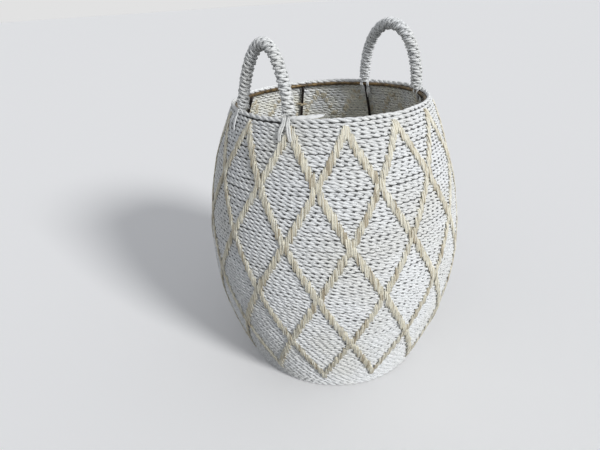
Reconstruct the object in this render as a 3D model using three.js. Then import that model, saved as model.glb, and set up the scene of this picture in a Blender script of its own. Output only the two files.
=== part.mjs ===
// Belly-shaped carrying basket: twisted cord woven round an iron-wire frame, a diamond
// lattice of palm-leaf stitches on the outside, and two arch handles wound with cord.
// Units are millimetres. The origin is on the basket's axis at floor level, +Z is up,
// and +X points between the legs of the right handle.

import * as THREE from 'three';

// Body
const bodyHeight = 420;
const footRadius = 146;
const bellyRadius = 194;
const bellyHeight = 194;
const mouthRadius = 140;
const lowerSwell = 1.8;
const upperSwell = 2;
const wallThickness = 5.4;
const baseThickness = 5.2;

// Cord and clearances
const cordDiameter = 5;
const seatGap = 0.3;

// Wire frame. The top ring's middle lies this far below the middle of the rim rope.
const topRingWireDiameter = 5;
const topRingDrop = 4;
const baseRingWireDiameter = 4.5;
const ribWireDiameter = 4.5;
const freeRibAngles = [64, 109, 246, 288];
const lowerBarAngle = 133;
const upperBarAngle = 43;

// Handles: angle of the middle, half angle between the legs, height above the rim, how
// full the arch is (1 is an ellipse, 2 a parabola), how far it leans away from the
// basket's axis and how thick its winding is
const handles = {
  right: { angle: -6.25, legHalfAngle: 24.75, height: 86.8, fullness: 0.9, lean: -1, winding: 5.8 },
  left: { angle: 184.4, legHalfAngle: 19, height: 81.6, fullness: 1.4, lean: -4.4, winding: 5 },
};
const handleWireDiameter = 5.6;
const handleFootGap = 0.5;
const cordsPerLoop = 2;
const loopGap = 0.6;

// Ties that lash each leg over the rim, two beside each other. Their ends hang inside the
// wall, at these lengths below the top ring.
const tieWidth = 4.6;
const tieThickness = 1.3;
const tieOuterLength = 17.6;
const tieInnerLengths = [23.5, 14];
const tieSplayWidth = 4.2;
const tiePinchOffset = 2.7;

// Palm-leaf lattice: how far its top tips lie below the rim, how high its bottom tips
// lie, and the shares that its five rows of half diamonds have of the height between
const latticeCount = 14;
const latticeStart = -128.1;
const latticeTopGap = 12;
const latticeBottomHeight = 38;
const latticeRowShares = [65, 71, 74.5, 78.5, 81];
const bandWidth = 11.6;
const bandThickness = 2;
const bandGap = 0.55;
const lapGap = 0.4;

// Facets
const roundSteps = 42;
const wallSteps = 12;
const rodSides = 6;
const barSides = 8;
const archSteps = 26;
const loopSteps = 12;
const loopSides = 5;

const wallTop = bodyHeight - cordDiameter - seatGap;
const facetShrink = Math.cos(Math.PI / roundSteps);

// Heights of the lattice's top tips, its rows of crossings and its bottom tips
const latticeHeight = bodyHeight - latticeTopGap - latticeBottomHeight;
const latticeShareSum = latticeRowShares.reduce((sum, share) => sum + share, 0);
const latticeLevels = [bodyHeight - latticeTopGap];
for (const share of latticeRowShares) {
  latticeLevels.push(latticeLevels.at(-1) - (latticeHeight * share) / latticeShareSum);
}

const white = new THREE.MeshStandardMaterial({ color: 0xdcdcd8, roughness: 0.85, metalness: 0 });
const palm = new THREE.MeshStandardMaterial({ color: 0xcdb98f, roughness: 0.7, metalness: 0 });
const iron = new THREE.MeshStandardMaterial({ color: 0x2a1f1d, roughness: 0.6, metalness: 0.3 });
const bronzed = new THREE.MeshStandardMaterial({ color: 0x7d5630, roughness: 0.6, metalness: 0.2 });

const radians = THREE.MathUtils.degToRad;

function polar(radius, angle, z) {
  return new THREE.Vector3(radius * Math.cos(angle), radius * Math.sin(angle), z);
}

// Outside radius of the body at a height
function bodyRadius(z) {
  if (z < bellyHeight) {
    const drop = Math.max(0, 1 - z / bellyHeight);
    return bellyRadius - (bellyRadius - footRadius) * drop ** lowerSwell;
  }
  const rise = (z - bellyHeight) / (bodyHeight - bellyHeight);
  return bellyRadius - (bellyRadius - mouthRadius) * rise ** upperSwell;
}

function wallLevel(step) {
  return (wallTop * step) / wallSteps;
}

// Largest radius at a height that stays clear of the wall's flat inner facets
function insideRadius(z) {
  const step = THREE.MathUtils.clamp(Math.floor((z * wallSteps) / wallTop), 0, wallSteps - 1);
  const low = wallLevel(step);
  const high = wallLevel(step + 1);
  const share = (z - low) / (high - low);
  const radius = THREE.MathUtils.lerp(bodyRadius(low), bodyRadius(high), share);
  return (radius - wallThickness) * facetShrink - seatGap;
}

// Turns a geometry whose faces point inwards inside out
function faceOutwards(geometry) {
  const position = geometry.getAttribute('position');
  const order = geometry.index ? Array.from(geometry.index.array) : [...Array(position.count).keys()];
  const a = new THREE.Vector3();
  const b = new THREE.Vector3();
  const c = new THREE.Vector3();
  let volume = 0;
  for (let i = 0; i < order.length; i += 3) {
    a.fromBufferAttribute(position, order[i]);
    b.fromBufferAttribute(position, order[i + 1]);
    c.fromBufferAttribute(position, order[i + 2]);
    volume += a.dot(b.cross(c));
  }
  if (volume < 0) {
    for (let i = 0; i < order.length; i += 3) {
      [order[i], order[i + 1]] = [order[i + 1], order[i]];
    }
  }
  geometry.setIndex(order);
  geometry.computeVertexNormals();
  return geometry;
}

// Closed solid through a row of outlines that have the same number of points
function loft(rings) {
  const sides = rings[0].length;
  const points = rings.flat().flatMap((point) => point.toArray());
  const order = [];
  for (let ring = 0; ring + 1 < rings.length; ring += 1) {
    for (let side = 0; side < sides; side += 1) {
      const a = ring * sides + side;
      const b = ring * sides + ((side + 1) % sides);
      order.push(a, b, b + sides, a, b + sides, a + sides);
    }
  }
  const last = (rings.length - 1) * sides;
  for (let side = 1; side + 1 < sides; side += 1) {
    order.push(0, side + 1, side);
    order.push(last, last + side, last + side + 1);
  }
  const geometry = new THREE.BufferGeometry();
  geometry.setAttribute('position', new THREE.Float32BufferAttribute(points, 3));
  geometry.setIndex(order);
  return faceOutwards(geometry);
}

// Solid of revolution about +Z from a closed outline of [radius, height] pairs
function revolve(outline) {
  const points = [...outline, outline[0]].map(([radius, height]) => new THREE.Vector2(radius, height));
  return faceOutwards(new THREE.LatheGeometry(points, roundSteps).rotateX(Math.PI / 2));
}

function ringGeometry(radius, height, rod) {
  const outline = [];
  for (let side = 0; side < rodSides; side += 1) {
    const turn = (2 * Math.PI * side) / rodSides;
    outline.push([radius + (rod / 2) * Math.cos(turn), height + (rod / 2) * Math.sin(turn)]);
  }
  return revolve(outline);
}

const basket = new THREE.Group();

function addPiece(name, geometry, material, parent = basket) {
  const mesh = new THREE.Mesh(geometry, material);
  mesh.name = name;
  parent.add(mesh);
  return mesh;
}

// Woven wall and base
function wallGeometry() {
  const levels = [...Array(wallSteps + 1).keys()].map(wallLevel);
  const outer = levels.map((z) => [bodyRadius(z), z]);
  const inner = levels.map((z) => [bodyRadius(z) - wallThickness, z]).reverse();
  return revolve([...outer, ...inner]);
}

function baseGeometry() {
  const outline = new THREE.Path();
  outline.moveTo(0, 0);
  outline.lineTo(insideRadius(0), 0);
  outline.lineTo(insideRadius(baseThickness), baseThickness);
  outline.lineTo(0, baseThickness);
  return faceOutwards(new THREE.LatheGeometry(outline.getPoints(), roundSteps).rotateX(Math.PI / 2));
}

addPiece('woven_wall', wallGeometry(), white);
addPiece('woven_base', baseGeometry(), white);

// Rim rope on the wall's top edge, in line with the outside of the body
const rimRopeHeight = bodyHeight - cordDiameter / 2;
const rimRopeRadius = bodyRadius(rimRopeHeight) - cordDiameter / 2;
addPiece('rim_rope', ringGeometry(rimRopeRadius, rimRopeHeight, cordDiameter), white);

// Wire rings
const topRingHeight = rimRopeHeight - topRingDrop;
const topRingRadius = insideRadius(topRingHeight) - topRingWireDiameter / 2;
addPiece('top_ring', ringGeometry(topRingRadius, topRingHeight, topRingWireDiameter), bronzed);

const baseRingBottom = baseThickness + seatGap;
const baseRingHeight = baseRingBottom + baseRingWireDiameter / 2;
const baseRingRadius = insideRadius(baseRingBottom) - baseRingWireDiameter / 2;
addPiece('base_ring', ringGeometry(baseRingRadius, baseRingHeight, baseRingWireDiameter), iron);

// Ribs stand on the base ring, follow the wall and end under the top ring
const legAngles = Object.values(handles).flatMap(({ angle, legHalfAngle }) => [
  angle - legHalfAngle,
  angle + legHalfAngle,
]);
const ribAngles = [...legAngles, ...freeRibAngles]
  .map((angle) => (angle + 360) % 360)
  .sort((first, second) => first - second);

function ribGeometry(angle) {
  const bottom = baseRingHeight + baseRingWireDiameter / 2 + seatGap;
  const top = topRingHeight - topRingWireDiameter / 2 - seatGap;
  const between = [...Array(wallSteps + 1).keys()].map(wallLevel).filter((z) => z > bottom && z < top);
  const rings = [bottom, ...between, top].map((z) => {
    const centre = polar(insideRadius(z) - ribWireDiameter / 2, angle, z);
    return [...Array(rodSides).keys()].map((side) => {
      const turn = angle + (2 * Math.PI * (side + 0.5)) / rodSides;
      return polar(ribWireDiameter / 2, turn, 0).add(centre);
    });
  });
  return loft(rings);
}

ribAngles.forEach((angle, index) => {
  addPiece(`rib_${index + 1}`, ribGeometry(radians(angle)), iron);
});

// Base bars: the lower one butts against the base ring, the upper one lies across
// both
function addBar(name, angle, length, height) {
  const radius = baseRingWireDiameter / 2;
  const geometry = new THREE.CylinderGeometry(radius, radius, length, barSides);
  const bar = addPiece(name, geometry, iron);
  bar.position.z = height;
  bar.rotation.z = radians(angle - 90);
}

const lowerBarReach = (baseRingRadius - baseRingWireDiameter / 2) * facetShrink - seatGap;
addBar('base_bar_lower', lowerBarAngle, 2 * lowerBarReach, baseRingHeight);
const upperBarHeight = baseRingHeight + baseRingWireDiameter + seatGap;
addBar('base_bar_upper', upperBarAngle, 2 * baseRingRadius, upperBarHeight);

// Handles: a bent rod whose feet stand on the top ring, wound with cord above the ties
const legRadius = rimRopeRadius - cordDiameter / 2 - seatGap - handleWireDiameter / 2;
const footHeight = topRingHeight + topRingWireDiameter / 2 + handleFootGap;
const tieTop = bodyHeight + seatGap + tieThickness;

class Arch extends THREE.Curve {
  constructor(halfSpan, height, fullness) {
    super();
    this.halfSpan = halfSpan;
    this.height = height;
    this.fullness = fullness;
  }

  getPoint(t, target = new THREE.Vector3()) {
    const turn = Math.PI * THREE.MathUtils.clamp(t, 0, 1);
    const up = Math.sin(turn) ** this.fullness;
    return target.set(0, -this.halfSpan * Math.cos(turn), this.height * up);
  }
}

function rodShape(radius) {
  const corners = [...Array(rodSides).keys()].map((side) => {
    const turn = (2 * Math.PI * side) / rodSides;
    return new THREE.Vector2(radius * Math.cos(turn), radius * Math.sin(turn));
  });
  return new THREE.Shape(corners);
}

// One unbroken cord wound round the arch. Each loop is as wide as the cords that lie
// side by side in it, less where the arch's inside crowds them.
function windingRings(arch, windingThickness) {
  const length = arch.getLength();
  const start = tieTop + seatGap - footHeight;
  const wound = length - 2 * start;
  const loops = Math.round(wound / (cordsPerLoop * cordDiameter));
  const pitch = wound / (loops + 1);
  const axisRadius = handleWireDiameter / 2 + seatGap + windingThickness / 2;
  const normal = new THREE.Vector3();
  const across = new THREE.Vector3(1, 0, 0);
  const section = (s, turn, slide, fromEnd) => {
    const at = s / length;
    const nudge = 1 / length;
    const tangent = arch.getTangentAt(at);
    const before = arch.getTangentAt(at - nudge);
    const after = arch.getTangentAt(at + nudge);
    normal.crossVectors(across, tangent);
    const bend = before.angleTo(after) / 2;
    const cos = Math.cos(turn);
    const sin = Math.sin(turn);
    const outwards = normal.clone().multiplyScalar(cos).addScaledVector(across, sin);
    const along = normal.clone().multiplyScalar(-sin).addScaledVector(across, cos);
    const centre = arch.getPointAt(at);
    centre.addScaledVector(outwards, axisRadius).addScaledVector(along, slide);
    const crowdedRadius = axisRadius + (cos < 0 ? windingThickness / 2 : 0);
    const spread = pitch * (1 + bend * crowdedRadius * cos);
    const width = Math.min(spread - loopGap, THREE.MathUtils.lerp(cordDiameter, pitch, fromEnd));
    return [...Array(loopSides).keys()].map((side) => {
      const around = (2 * Math.PI * side) / loopSides;
      return centre
        .clone()
        .addScaledVector(outwards, (windingThickness / 2) * Math.cos(around))
        .addScaledVector(tangent, (width / 2) * Math.sin(around));
    });
  };
  const first = start + pitch / 2;
  const steps = loops * loopSteps;
  const rings = [section(first, 0, -cordDiameter, 0)];
  for (let step = 0; step <= steps; step += 1) {
    const loop = step / loopSteps;
    const fromEnd = Math.min(1, loop, loops - loop);
    rings.push(section(first + pitch * loop, 2 * Math.PI * loop, 0, fromEnd));
  }
  rings.push(section(first + pitch * loops, 2 * Math.PI * loops, cordDiameter, 0));
  return rings;
}

// Least distance between the surface points of one loop and those of the next ones
function leastGap(rings) {
  let least = Infinity;
  const reach = 2 * loopSteps;
  const skip = Math.ceil(loopSteps * 0.6);
  rings.forEach((ring, index) => {
    for (const other of rings.slice(index + skip, index + reach)) {
      for (const a of ring) {
        for (const b of other) {
          least = Math.min(least, a.distanceTo(b));
        }
      }
    }
  });
  return least;
}

for (const [side, handle] of Object.entries(handles)) {
  const group = new THREE.Group();
  const half = radians(handle.legHalfAngle);
  group.position.copy(polar(legRadius * Math.cos(half), radians(handle.angle), footHeight));
  group.rotation.set(0, radians(handle.lean), radians(handle.angle), 'ZYX');
  basket.add(group);
  const rise = bodyHeight + handle.height - footHeight;
  const arch = new Arch(legRadius * Math.sin(half), rise, handle.fullness);
  const path = { steps: archSteps, extrudePath: arch, bevelEnabled: false };
  const core = new THREE.ExtrudeGeometry(rodShape(handleWireDiameter / 2), path);
  addPiece(`${side}_handle_core`, faceOutwards(core), iron, group);
  const rings = windingRings(arch, handle.winding);
  addPiece(`${side}_handle_winding`, loft(rings), white, group);
  console.log(`${side} handle winding: least gap between loops ${leastGap(rings).toFixed(2)} mm`);
}

// Ties: flat strips over the rim beside each leg. Outside they are pinched together
// under the leg, and their tails spread apart over the tips of the lattice.
function tieGeometry(angle, hand, innerLength) {
  const lift = seatGap + tieThickness / 2;
  const beside = handleWireDiameter / 2 + seatGap + tieWidth / 2;
  const outerEnd = wallTop - tieOuterLength;
  const innerEnd = topRingHeight - innerLength;
  const round = (radius, height, rod, degrees) => {
    const reach = rod / 2 + lift;
    const turn = radians(degrees);
    return [radius + reach * Math.cos(turn), height + reach * Math.sin(turn)];
  };
  const tipTop = latticeLevels[0] + seatGap;
  const overTips = (z) => bodyRadius(z) + bandGap + bandThickness + lift;
  const innerFace = (z) => insideRadius(z) - lift;
  const stations = [
    { at: [overTips(outerEnd), outerEnd], side: tiePinchOffset + tieSplayWidth },
    { at: [overTips(tipTop), tipTop], side: tiePinchOffset + tieSplayWidth / 2 },
    { at: [bodyRadius(wallTop) + lift, wallTop], side: tiePinchOffset },
    ...[0, 30, 60, 90, 120, 150].map((degrees) => ({
      at: round(rimRopeRadius, rimRopeHeight, cordDiameter, degrees),
      side: THREE.MathUtils.lerp(tiePinchOffset, beside, Math.min(1, degrees / 90)),
    })),
    ...[140, 180, 220].map((degrees) => ({
      at: round(topRingRadius * facetShrink, topRingHeight, topRingWireDiameter, degrees),
      side: beside,
    })),
    { at: [innerFace(innerEnd + innerLength / 3), innerEnd + innerLength / 3], side: beside },
    { at: [innerFace(innerEnd), innerEnd], side: beside },
  ];
  const rings = stations.map(({ at: [radius, z], side }, index) => {
    const [beforeRadius, beforeZ] = stations[Math.max(0, index - 1)].at;
    const [afterRadius, afterZ] = stations[Math.min(stations.length - 1, index + 1)].at;
    const run = Math.hypot(afterRadius - beforeRadius, afterZ - beforeZ);
    const outRadius = ((afterZ - beforeZ) / run) * (tieThickness / 2);
    const outZ = ((beforeRadius - afterRadius) / run) * (tieThickness / 2);
    const corners = [[1, -1], [1, 1], [-1, 1], [-1, -1]];
    return corners.map(([face, edge]) => {
      const cornerRadius = radius + face * outRadius;
      const turn = (hand * side + (edge * tieWidth) / 2) / radius;
      return polar(cornerRadius, angle + turn, z + face * outZ);
    });
  });
  return loft(rings);
}

for (const [side, { angle, legHalfAngle }] of Object.entries(handles)) {
  for (const [leg, turn] of [['first', -1], ['second', 1]]) {
    const legAngle = radians(angle + turn * legHalfAngle);
    for (const [index, hand] of [-1, 1].entries()) {
      const geometry = tieGeometry(legAngle, hand, tieInnerLengths[index]);
      addPiece(`${side}_handle_${leg}_leg_tie_${index + 1}`, geometry, white);
    }
  }
}

// Lattice bands: at each crossing the band that runs down to the right lies over the
// other one, half as thick as elsewhere, and at the tips two bands meet edge to edge
const latticeStep = (2 * Math.PI) / latticeCount;

function bandAngle(z, direction) {
  const last = latticeLevels.length - 2;
  let level = 0;
  while (level < last && z < latticeLevels[level + 1]) {
    level += 1;
  }
  const share = (latticeLevels[level] - z) / (latticeLevels[level] - latticeLevels[level + 1]);
  return (direction * (level + share) * latticeStep) / 2;
}

// Height that two bands need to part from a crossing at a level
function lapHeight(level) {
  const z = latticeLevels[level];
  const rises = [level - 1, level]
    .filter((index) => index >= 0 && index + 1 < latticeLevels.length)
    .map((index) => latticeLevels[index] - latticeLevels[index + 1]);
  const perTurn = Math.max(...rises) / (latticeStep * bodyRadius(z));
  return (bandWidth + 2 * seatGap) * perTurn;
}

function bandStations() {
  const last = latticeLevels.length - 1;
  const stations = [
    { z: latticeLevels[0], lap: 0 },
    { z: latticeLevels[0] - lapHeight(0), lap: 0 },
  ];
  for (let level = 1; level < last; level += 1) {
    const z = latticeLevels[level];
    const lap = lapHeight(level);
    const above = stations.at(-1).z;
    stations.push({ z: (above + z + lap) / 2, lap: 0 }, { z: z + lap, lap: 1 }, { z: z - lap, lap: 1 });
  }
  const tip = latticeLevels[last] + lapHeight(last);
  stations.push({ z: (stations.at(-1).z + tip) / 2, lap: 0 });
  stations.push({ z: tip, lap: 0 }, { z: latticeLevels[last], lap: 0 });
  return stations;
}

function bandGeometry(start, direction) {
  const last = latticeLevels.length - 1;
  const lapped = (bandThickness - lapGap) / 2;
  const rings = bandStations().map(({ z, lap }) => {
    const radius = bodyRadius(z);
    const middle = bandAngle(z, direction);
    const half = bandWidth / 2 / radius;
    const margin = seatGap / 2 / radius;
    const firstTip = direction * margin;
    const lastTip = (direction * last * latticeStep) / 2 - direction * margin;
    let [low, high] = [middle - half, middle + half];
    if (z >= latticeLevels[0] - lapHeight(0)) {
      [low, high] = direction > 0 ? [Math.max(low, firstTip), high] : [low, Math.min(high, firstTip)];
    }
    if (z <= latticeLevels[last] + lapHeight(last)) {
      [low, high] = direction > 0 ? [low, Math.min(high, lastTip)] : [Math.max(low, lastTip), high];
    }
    const inner = radius + bandGap + (lap && direction > 0 ? lapped + lapGap : 0);
    const outer = radius + bandGap + (lap && direction < 0 ? lapped : bandThickness);
    return [
      polar(inner, start + low, z),
      polar(inner, start + high, z),
      polar(outer, start + high, z),
      polar(outer, start + low, z),
    ];
  });
  return loft(rings);
}

for (let index = 0; index < latticeCount; index += 1) {
  const start = radians(latticeStart) + index * latticeStep;
  addPiece(`palm_band_right_${index + 1}`, bandGeometry(start, 1), palm);
  addPiece(`palm_band_left_${index + 1}`, bandGeometry(start, -1), palm);
}

export default basket;
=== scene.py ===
import math

import bpy
import numpy as np
from mathutils import Matrix, Vector


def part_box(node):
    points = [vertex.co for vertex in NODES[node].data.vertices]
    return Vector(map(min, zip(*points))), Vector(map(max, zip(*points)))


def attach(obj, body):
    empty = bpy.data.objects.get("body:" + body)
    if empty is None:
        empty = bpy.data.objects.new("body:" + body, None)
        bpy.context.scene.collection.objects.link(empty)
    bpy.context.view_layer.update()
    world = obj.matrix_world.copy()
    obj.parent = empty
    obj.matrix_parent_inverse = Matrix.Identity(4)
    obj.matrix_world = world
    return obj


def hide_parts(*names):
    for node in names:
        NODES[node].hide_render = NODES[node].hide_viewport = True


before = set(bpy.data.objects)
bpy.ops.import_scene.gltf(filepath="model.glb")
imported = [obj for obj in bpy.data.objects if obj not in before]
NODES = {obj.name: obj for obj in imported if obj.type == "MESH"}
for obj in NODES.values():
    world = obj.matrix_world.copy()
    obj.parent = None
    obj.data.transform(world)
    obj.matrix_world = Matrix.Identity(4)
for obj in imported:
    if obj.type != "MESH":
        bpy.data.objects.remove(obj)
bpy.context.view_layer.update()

# Cord, in metres: distance between courses, length of a full twist, and a strand's distance from
# the cord's middle, half thickness and half width
CORD = 0.005
TWIST = 0.0222
HANDLE_TWIST = 0.0212
STRAND_OFFSET = 0.00128
STRAND_THICK = 0.00148
STRAND_WIDE = 0.0018
SEAT_GAP = 0.0003

# Facets
WALL_STEPS = 448
SHADE_SHEET_STEPS = 168
SHADE_SHEET_ROWS = 70
RING_STEPS = 240
RIB_STEPS = 60
BAR_STEPS = 40
STITCH_STEPS = 9
TIE_STEPS = 64
TAIL_STEPS = 60
STRAND_SIDES = 6
FLAT_SIDES = 8
WIRE_SIDES = 12
CORD_STEP = 0.0022
HANDLE_STEP = 0.0016
SAME_HEIGHT = 2e-5

# Unevenness of the wall: courses lie more evenly, and their strands are less full, the further
# they are below LOOSE_LENGTH, down to the share LOOSE_LEAST. Lengths run up the wall from its foot.
WALL_THICK = 0.0054
LOOSE_LENGTH = 0.2
LOOSE_LEAST = 0.5
BULGE_WAVES = 0.00008
RISE_WAVES = 0.00007
COURSE_SHIFT = 0.00017
SLIP_WAVES = 0.2
FULL_START = 0.68
FULL_GAIN = 0.36
FULL_TURN = 0.04
FULL_WAVES = 0.008

# Twist of the courses. FRONT is the side towards the photograph's camera. There each course below
# BRICK_LENGTH steps back from the one under it, so that its strands lie like bricks. The courses
# above step forward at angle 0 instead. A step is its middle and its spread.
FRONT = math.radians(225)
FIRST_PHASE = 2.899
BRICK_LENGTH = 0.15
BRICK_STEP = (1.3, 0.35)
FREE_STEP = (0.35, 0.45)

# The top courses are lifted and swollen towards the rim rope, but not at the left handle
TOP_COURSES = 4
TOP_LIFT = 0.001
TOP_SWELL = 0.0003
TOP_CALM = 0.7
TOP_GAP_TURN = math.radians(-6)
TOP_GAP_HALF = math.radians(12)
TOP_GAP_EASE = 0.1
TOP_GAP_DIP = -0.4

# Painted-shade sheet between the courses, and the rim rope
SHADE_SHEET_MARGIN = 0.001
SHADE_SHEET_HALF = 0.0002
RIM_SHADE_SHEET_INSET = 0.0003
RIM_WAVES = 0.00006
RIM_SCALE = 1.04
RIM_FULL = 1.12
RIM_FULL_TURN = 0.06

# Base spiral: its first radius is a share of the cord
BASE_START = 0.6
BASE_SCALE = 0.95

# Lattice of palm-leaf stitches, as in the CAD model
LATTICE_COUNT = 14
LATTICE_START = math.radians(-128.1)
LATTICE_LEVELS = (0.408, 0.343, 0.272, 0.1975, 0.119, 0.038)
LEVEL_STITCHES = 7.5
STITCH_LENGTH = 0.0215
CROSSING_REACH = 0.1
CROSSING_APART = 0.0032
CROSSING_SHARE = 0.85

# Fibres of the stitches, and of their short returns on the inside. Ends are how far the fibres
# dive, and tones are the middle and the spread of their shades.
STITCH_STRIPS = {"right": 6, "left": 5}
STITCH_ENDS = -0.0022
STITCH_STAGGER = 0.6
STITCH_TONE = (0.57, 0.15)
FIBRE_TONE = 0.27
RETURN_STRIPS = 5
RETURN_ENDS = -0.0032
RETURN_LENGTHS = (0.007, 0.014)
RETURN_SLANT = 0.0018
RETURN_GAP = 0.0002
RETURN_TONE = (0.5, 0.2)
STRIP_SPACING = 0.00132
STRIP_WIDE = 0.00068
STRIP_THICK = 0.00055
STITCH_TILT = 0.0003
FIBRE_TILT = 0.00022
FIBRE_SWAY = 0.00012
FIBRE_SHIFT = 0.0009
FIBRE_RISE = 0.00018

# Handles, as in the CAD model: middle and half angle between the legs in degrees, height
# above the rim, fullness of the arch, lean in degrees and thickness of the winding
HANDLES = {
    "right": (-6.25, 24.75, 0.0868, 0.9, -1, 0.0058),
    "left": (184.4, 19, 0.0816, 1.4, -4.4, 0.005),
}
HANDLE_WIRE = 0.0056
FOOT_GAP = 0.0005
HANDLE_FULL = 0.98
WINDING_SINK = 0.0006
FIRST_TURNS = {"right": -30, "left": 150}
DROOPS = {"right": 0.0, "left": 0.0034}
DROOP_REACH = 3.5 * CORD
FLARES = {"right": (0.0, 0.0), "left": (0.0006, 0.0012)}
FLARE_REACH = 3 * CORD
BEND_PITCH = 0.3
END_PITCH = 0.6
SPREADS = (0.62, 1.5)
WINDING_WAVES = 0.00006
WINDING_SLIP = 0.00012
SLEEVE = 0.0002
WRAP_START = 0.0006
WRAP_TURNS = 3
WRAP_LIFT = 0.0005
WRAP_LIMIT = 0.0001
WRAP_THICK = 0.00045
WRAP_WIDE = 0.0011

# Ties over the rim: pairs are for the two ties of a leg
TIE_OUTSIDE = 0.0175
TIE_INSIDES = (0.0235, 0.014)
TIE_SPLAYS = (0.0027, 0.0059)
TIE_BULGES = (0.0015, 0)
TIE_HANG = 0.005
TIE_BOW = 0.0012
TIE_END_LIFT = 0.001
TIE_STRAND_WIDE = 0.0014
TIE_STRAND_THICK = 0.00085
TIE_THICKNESS = 0.0013
TIE_WIDTH = 0.0046
TIE_PINCH = 0.0028
TIE_RIPPLE = 0.00012

# Loose end of the left handle's tie
TAIL_START = 0.004
TAIL_LENGTH = 0.042
TAIL_OUT = 0.0012
TAIL_DRIFT = 0.0064
TAIL_DROP = 0.0006
TAIL_RISE = 0.0024
TAIL_THICK = 0.0006
TAIL_WIDE = 0.0031

# Strips that tie ribs to the wall, and their heights
RIB_WIRE = 0.0045
LASHINGS = {"rib_2": 0.38}
LASHING_TURNS = 3
LASHING_HEIGHT = 0.0045
LASHING_LIFT = 0.0006
LASHING_THICK = 0.0005
LASHING_WIDE = 0.0013
LASHING_STEPS = 12
LASHING_END_LENGTH = 0.0075
LASHING_END_WIDE = 0.0018
LASHING_END_LIFT = 0.0008
LASHING_END_GAP = 0.0004

# Camera of the photograph, placed opposite the basket's front
CAMERA_TURN = math.radians(-45)
CAMERA_DISTANCE = 0.6642
CAMERA_HEIGHT = 0.5485
CAMERA_PITCH = math.radians(26.848)
CAMERA_YAW = math.radians(-4.587)
CAMERA_ROLL = math.radians(-3.306)
CAMERA_LENS = 27
CAMERA_SENSOR = 36

# Lamps: degrees to the right of that camera, degrees up, power and softness in degrees
LAMPS = {"key": (48, 27, 2.35, 14), "top": (10, 72, 0.1, 50)}
LAMP_DISTANCE = 2

# Floor and sky
FLOOR_SIZE = 80
FLOOR_LIT = (0.1, 0.1, 0.1, 1)
FLOOR_SEEN = (0.98, 0.98, 0.98, 1)
HORIZON = (0.56, 0.57, 0.59)
ZENITH = (0.12, 0.13, 0.15)
SKY_SEEN = (0.8, 0.8, 0.8, 1)
SKY_STRENGTH = 0.95

rng = np.random.default_rng(7)


# Shapes of the frame
def node_points(node):
    return np.array([v.co for v in NODES[node].data.vertices])


def outline(node):
    """Heights and largest radii of a packed round node, lowest first."""
    points = node_points(node)
    reach = np.hypot(points[:, 0], points[:, 1])
    heights = np.unique(np.round(points[:, 2], 5))
    radii = np.array([reach[np.abs(points[:, 2] - h) < SAME_HEIGHT].max() for h in heights])
    return heights, radii


def ring_size(node):
    """Radius, height and rod diameter of a packed ring."""
    points = node_points(node)
    reach = np.hypot(points[:, 0], points[:, 1])
    radius = (reach.max() + reach.min()) / 2
    height = (points[:, 2].max() + points[:, 2].min()) / 2
    return radius, height, reach.max() - reach.min()


def smooth_line(x, xs, ys):
    """Smooth curve through the points xs, ys, read at x."""
    slopes = np.gradient(ys, xs, edge_order=2)
    i = np.clip(np.searchsorted(xs, x) - 1, 0, len(xs) - 2)
    span = xs[i + 1] - xs[i]
    t = (x - xs[i]) / span
    low = ys[i] * (2 * t**3 - 3 * t**2 + 1) + slopes[i] * span * (t**3 - 2 * t**2 + t)
    return low + ys[i + 1] * (3 * t**2 - 2 * t**3) + slopes[i + 1] * span * (t**3 - t**2)


WALL_HEIGHTS, WALL_RADII = outline("woven_wall")
WALL_TOP = WALL_HEIGHTS[-1]
FINE_HEIGHTS = np.linspace(0, WALL_TOP, 2001)
FINE_RADII = smooth_line(FINE_HEIGHTS, WALL_HEIGHTS, WALL_RADII)
FINE_LENGTHS = np.r_[0, np.cumsum(np.hypot(np.diff(FINE_HEIGHTS), np.diff(FINE_RADII)))]
FINE_SLOPES = np.gradient(FINE_RADII, FINE_HEIGHTS)
WALL_LENGTH = FINE_LENGTHS[-1]


def wall_radius(height):
    return np.interp(height, FINE_HEIGHTS, FINE_RADII)


def wall_length(height):
    return np.interp(height, FINE_HEIGHTS, FINE_LENGTHS)


def wall_at(length):
    """Outside radius, height and outward direction (radial, upward) of the wall at a length up it."""
    height = np.interp(length, FINE_LENGTHS, FINE_HEIGHTS)
    radius = np.interp(length, FINE_LENGTHS, FINE_RADII)
    slope = np.interp(length, FINE_LENGTHS, FINE_SLOPES)
    scale = np.sqrt(1 + slope**2)
    return radius, height, 1 / scale, -slope / scale


def round_point(reach, angle, height):
    return np.stack([reach * np.cos(angle), reach * np.sin(angle), height], -1)


def wall_point(angle, length, lift):
    """Points lifted off the outside of the wall, and the outward and upward directions there."""
    radius, height, out_r, out_z = wall_at(length)
    point = round_point(radius + lift * out_r, angle, height + lift * out_z)
    outward = round_point(out_r, angle, out_z + 0 * angle)
    upward = round_point(-out_z, angle, out_r + 0 * angle)
    return point, outward, upward


def ring_angles(steps):
    return np.arange(steps) * 2 * math.pi / steps


def outward_at(angle):
    """Level directions away from the basket's axis."""
    return round_point(1, angle, 0 * angle)


def straight_up(count):
    return np.tile([0.0, 0.0, 1.0], (count, 1))


def path_lengths(points):
    """Length along a line of points, up to each of them."""
    return np.r_[0, np.cumsum(np.linalg.norm(np.diff(points, axis=0), axis=1))]


def read_line(s, lengths, points):
    """Points at the lengths s along a line of points."""
    return np.stack([np.interp(s, lengths, points[:, i]) for i in range(3)], -1)


def unit(vectors):
    return vectors / np.linalg.norm(vectors, axis=-1, keepdims=True)


# Unevenness, the same in every run
def ring_waves(angle, size, first, last):
    """Smooth waves round a ring: one for each count from first up to last, without last itself."""
    total = np.zeros_like(angle)
    for count in range(first, last):
        swing = rng.normal(0, size)
        total = total + swing * np.cos(count * angle + rng.uniform(0, 2 * math.pi))
    return total


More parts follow.
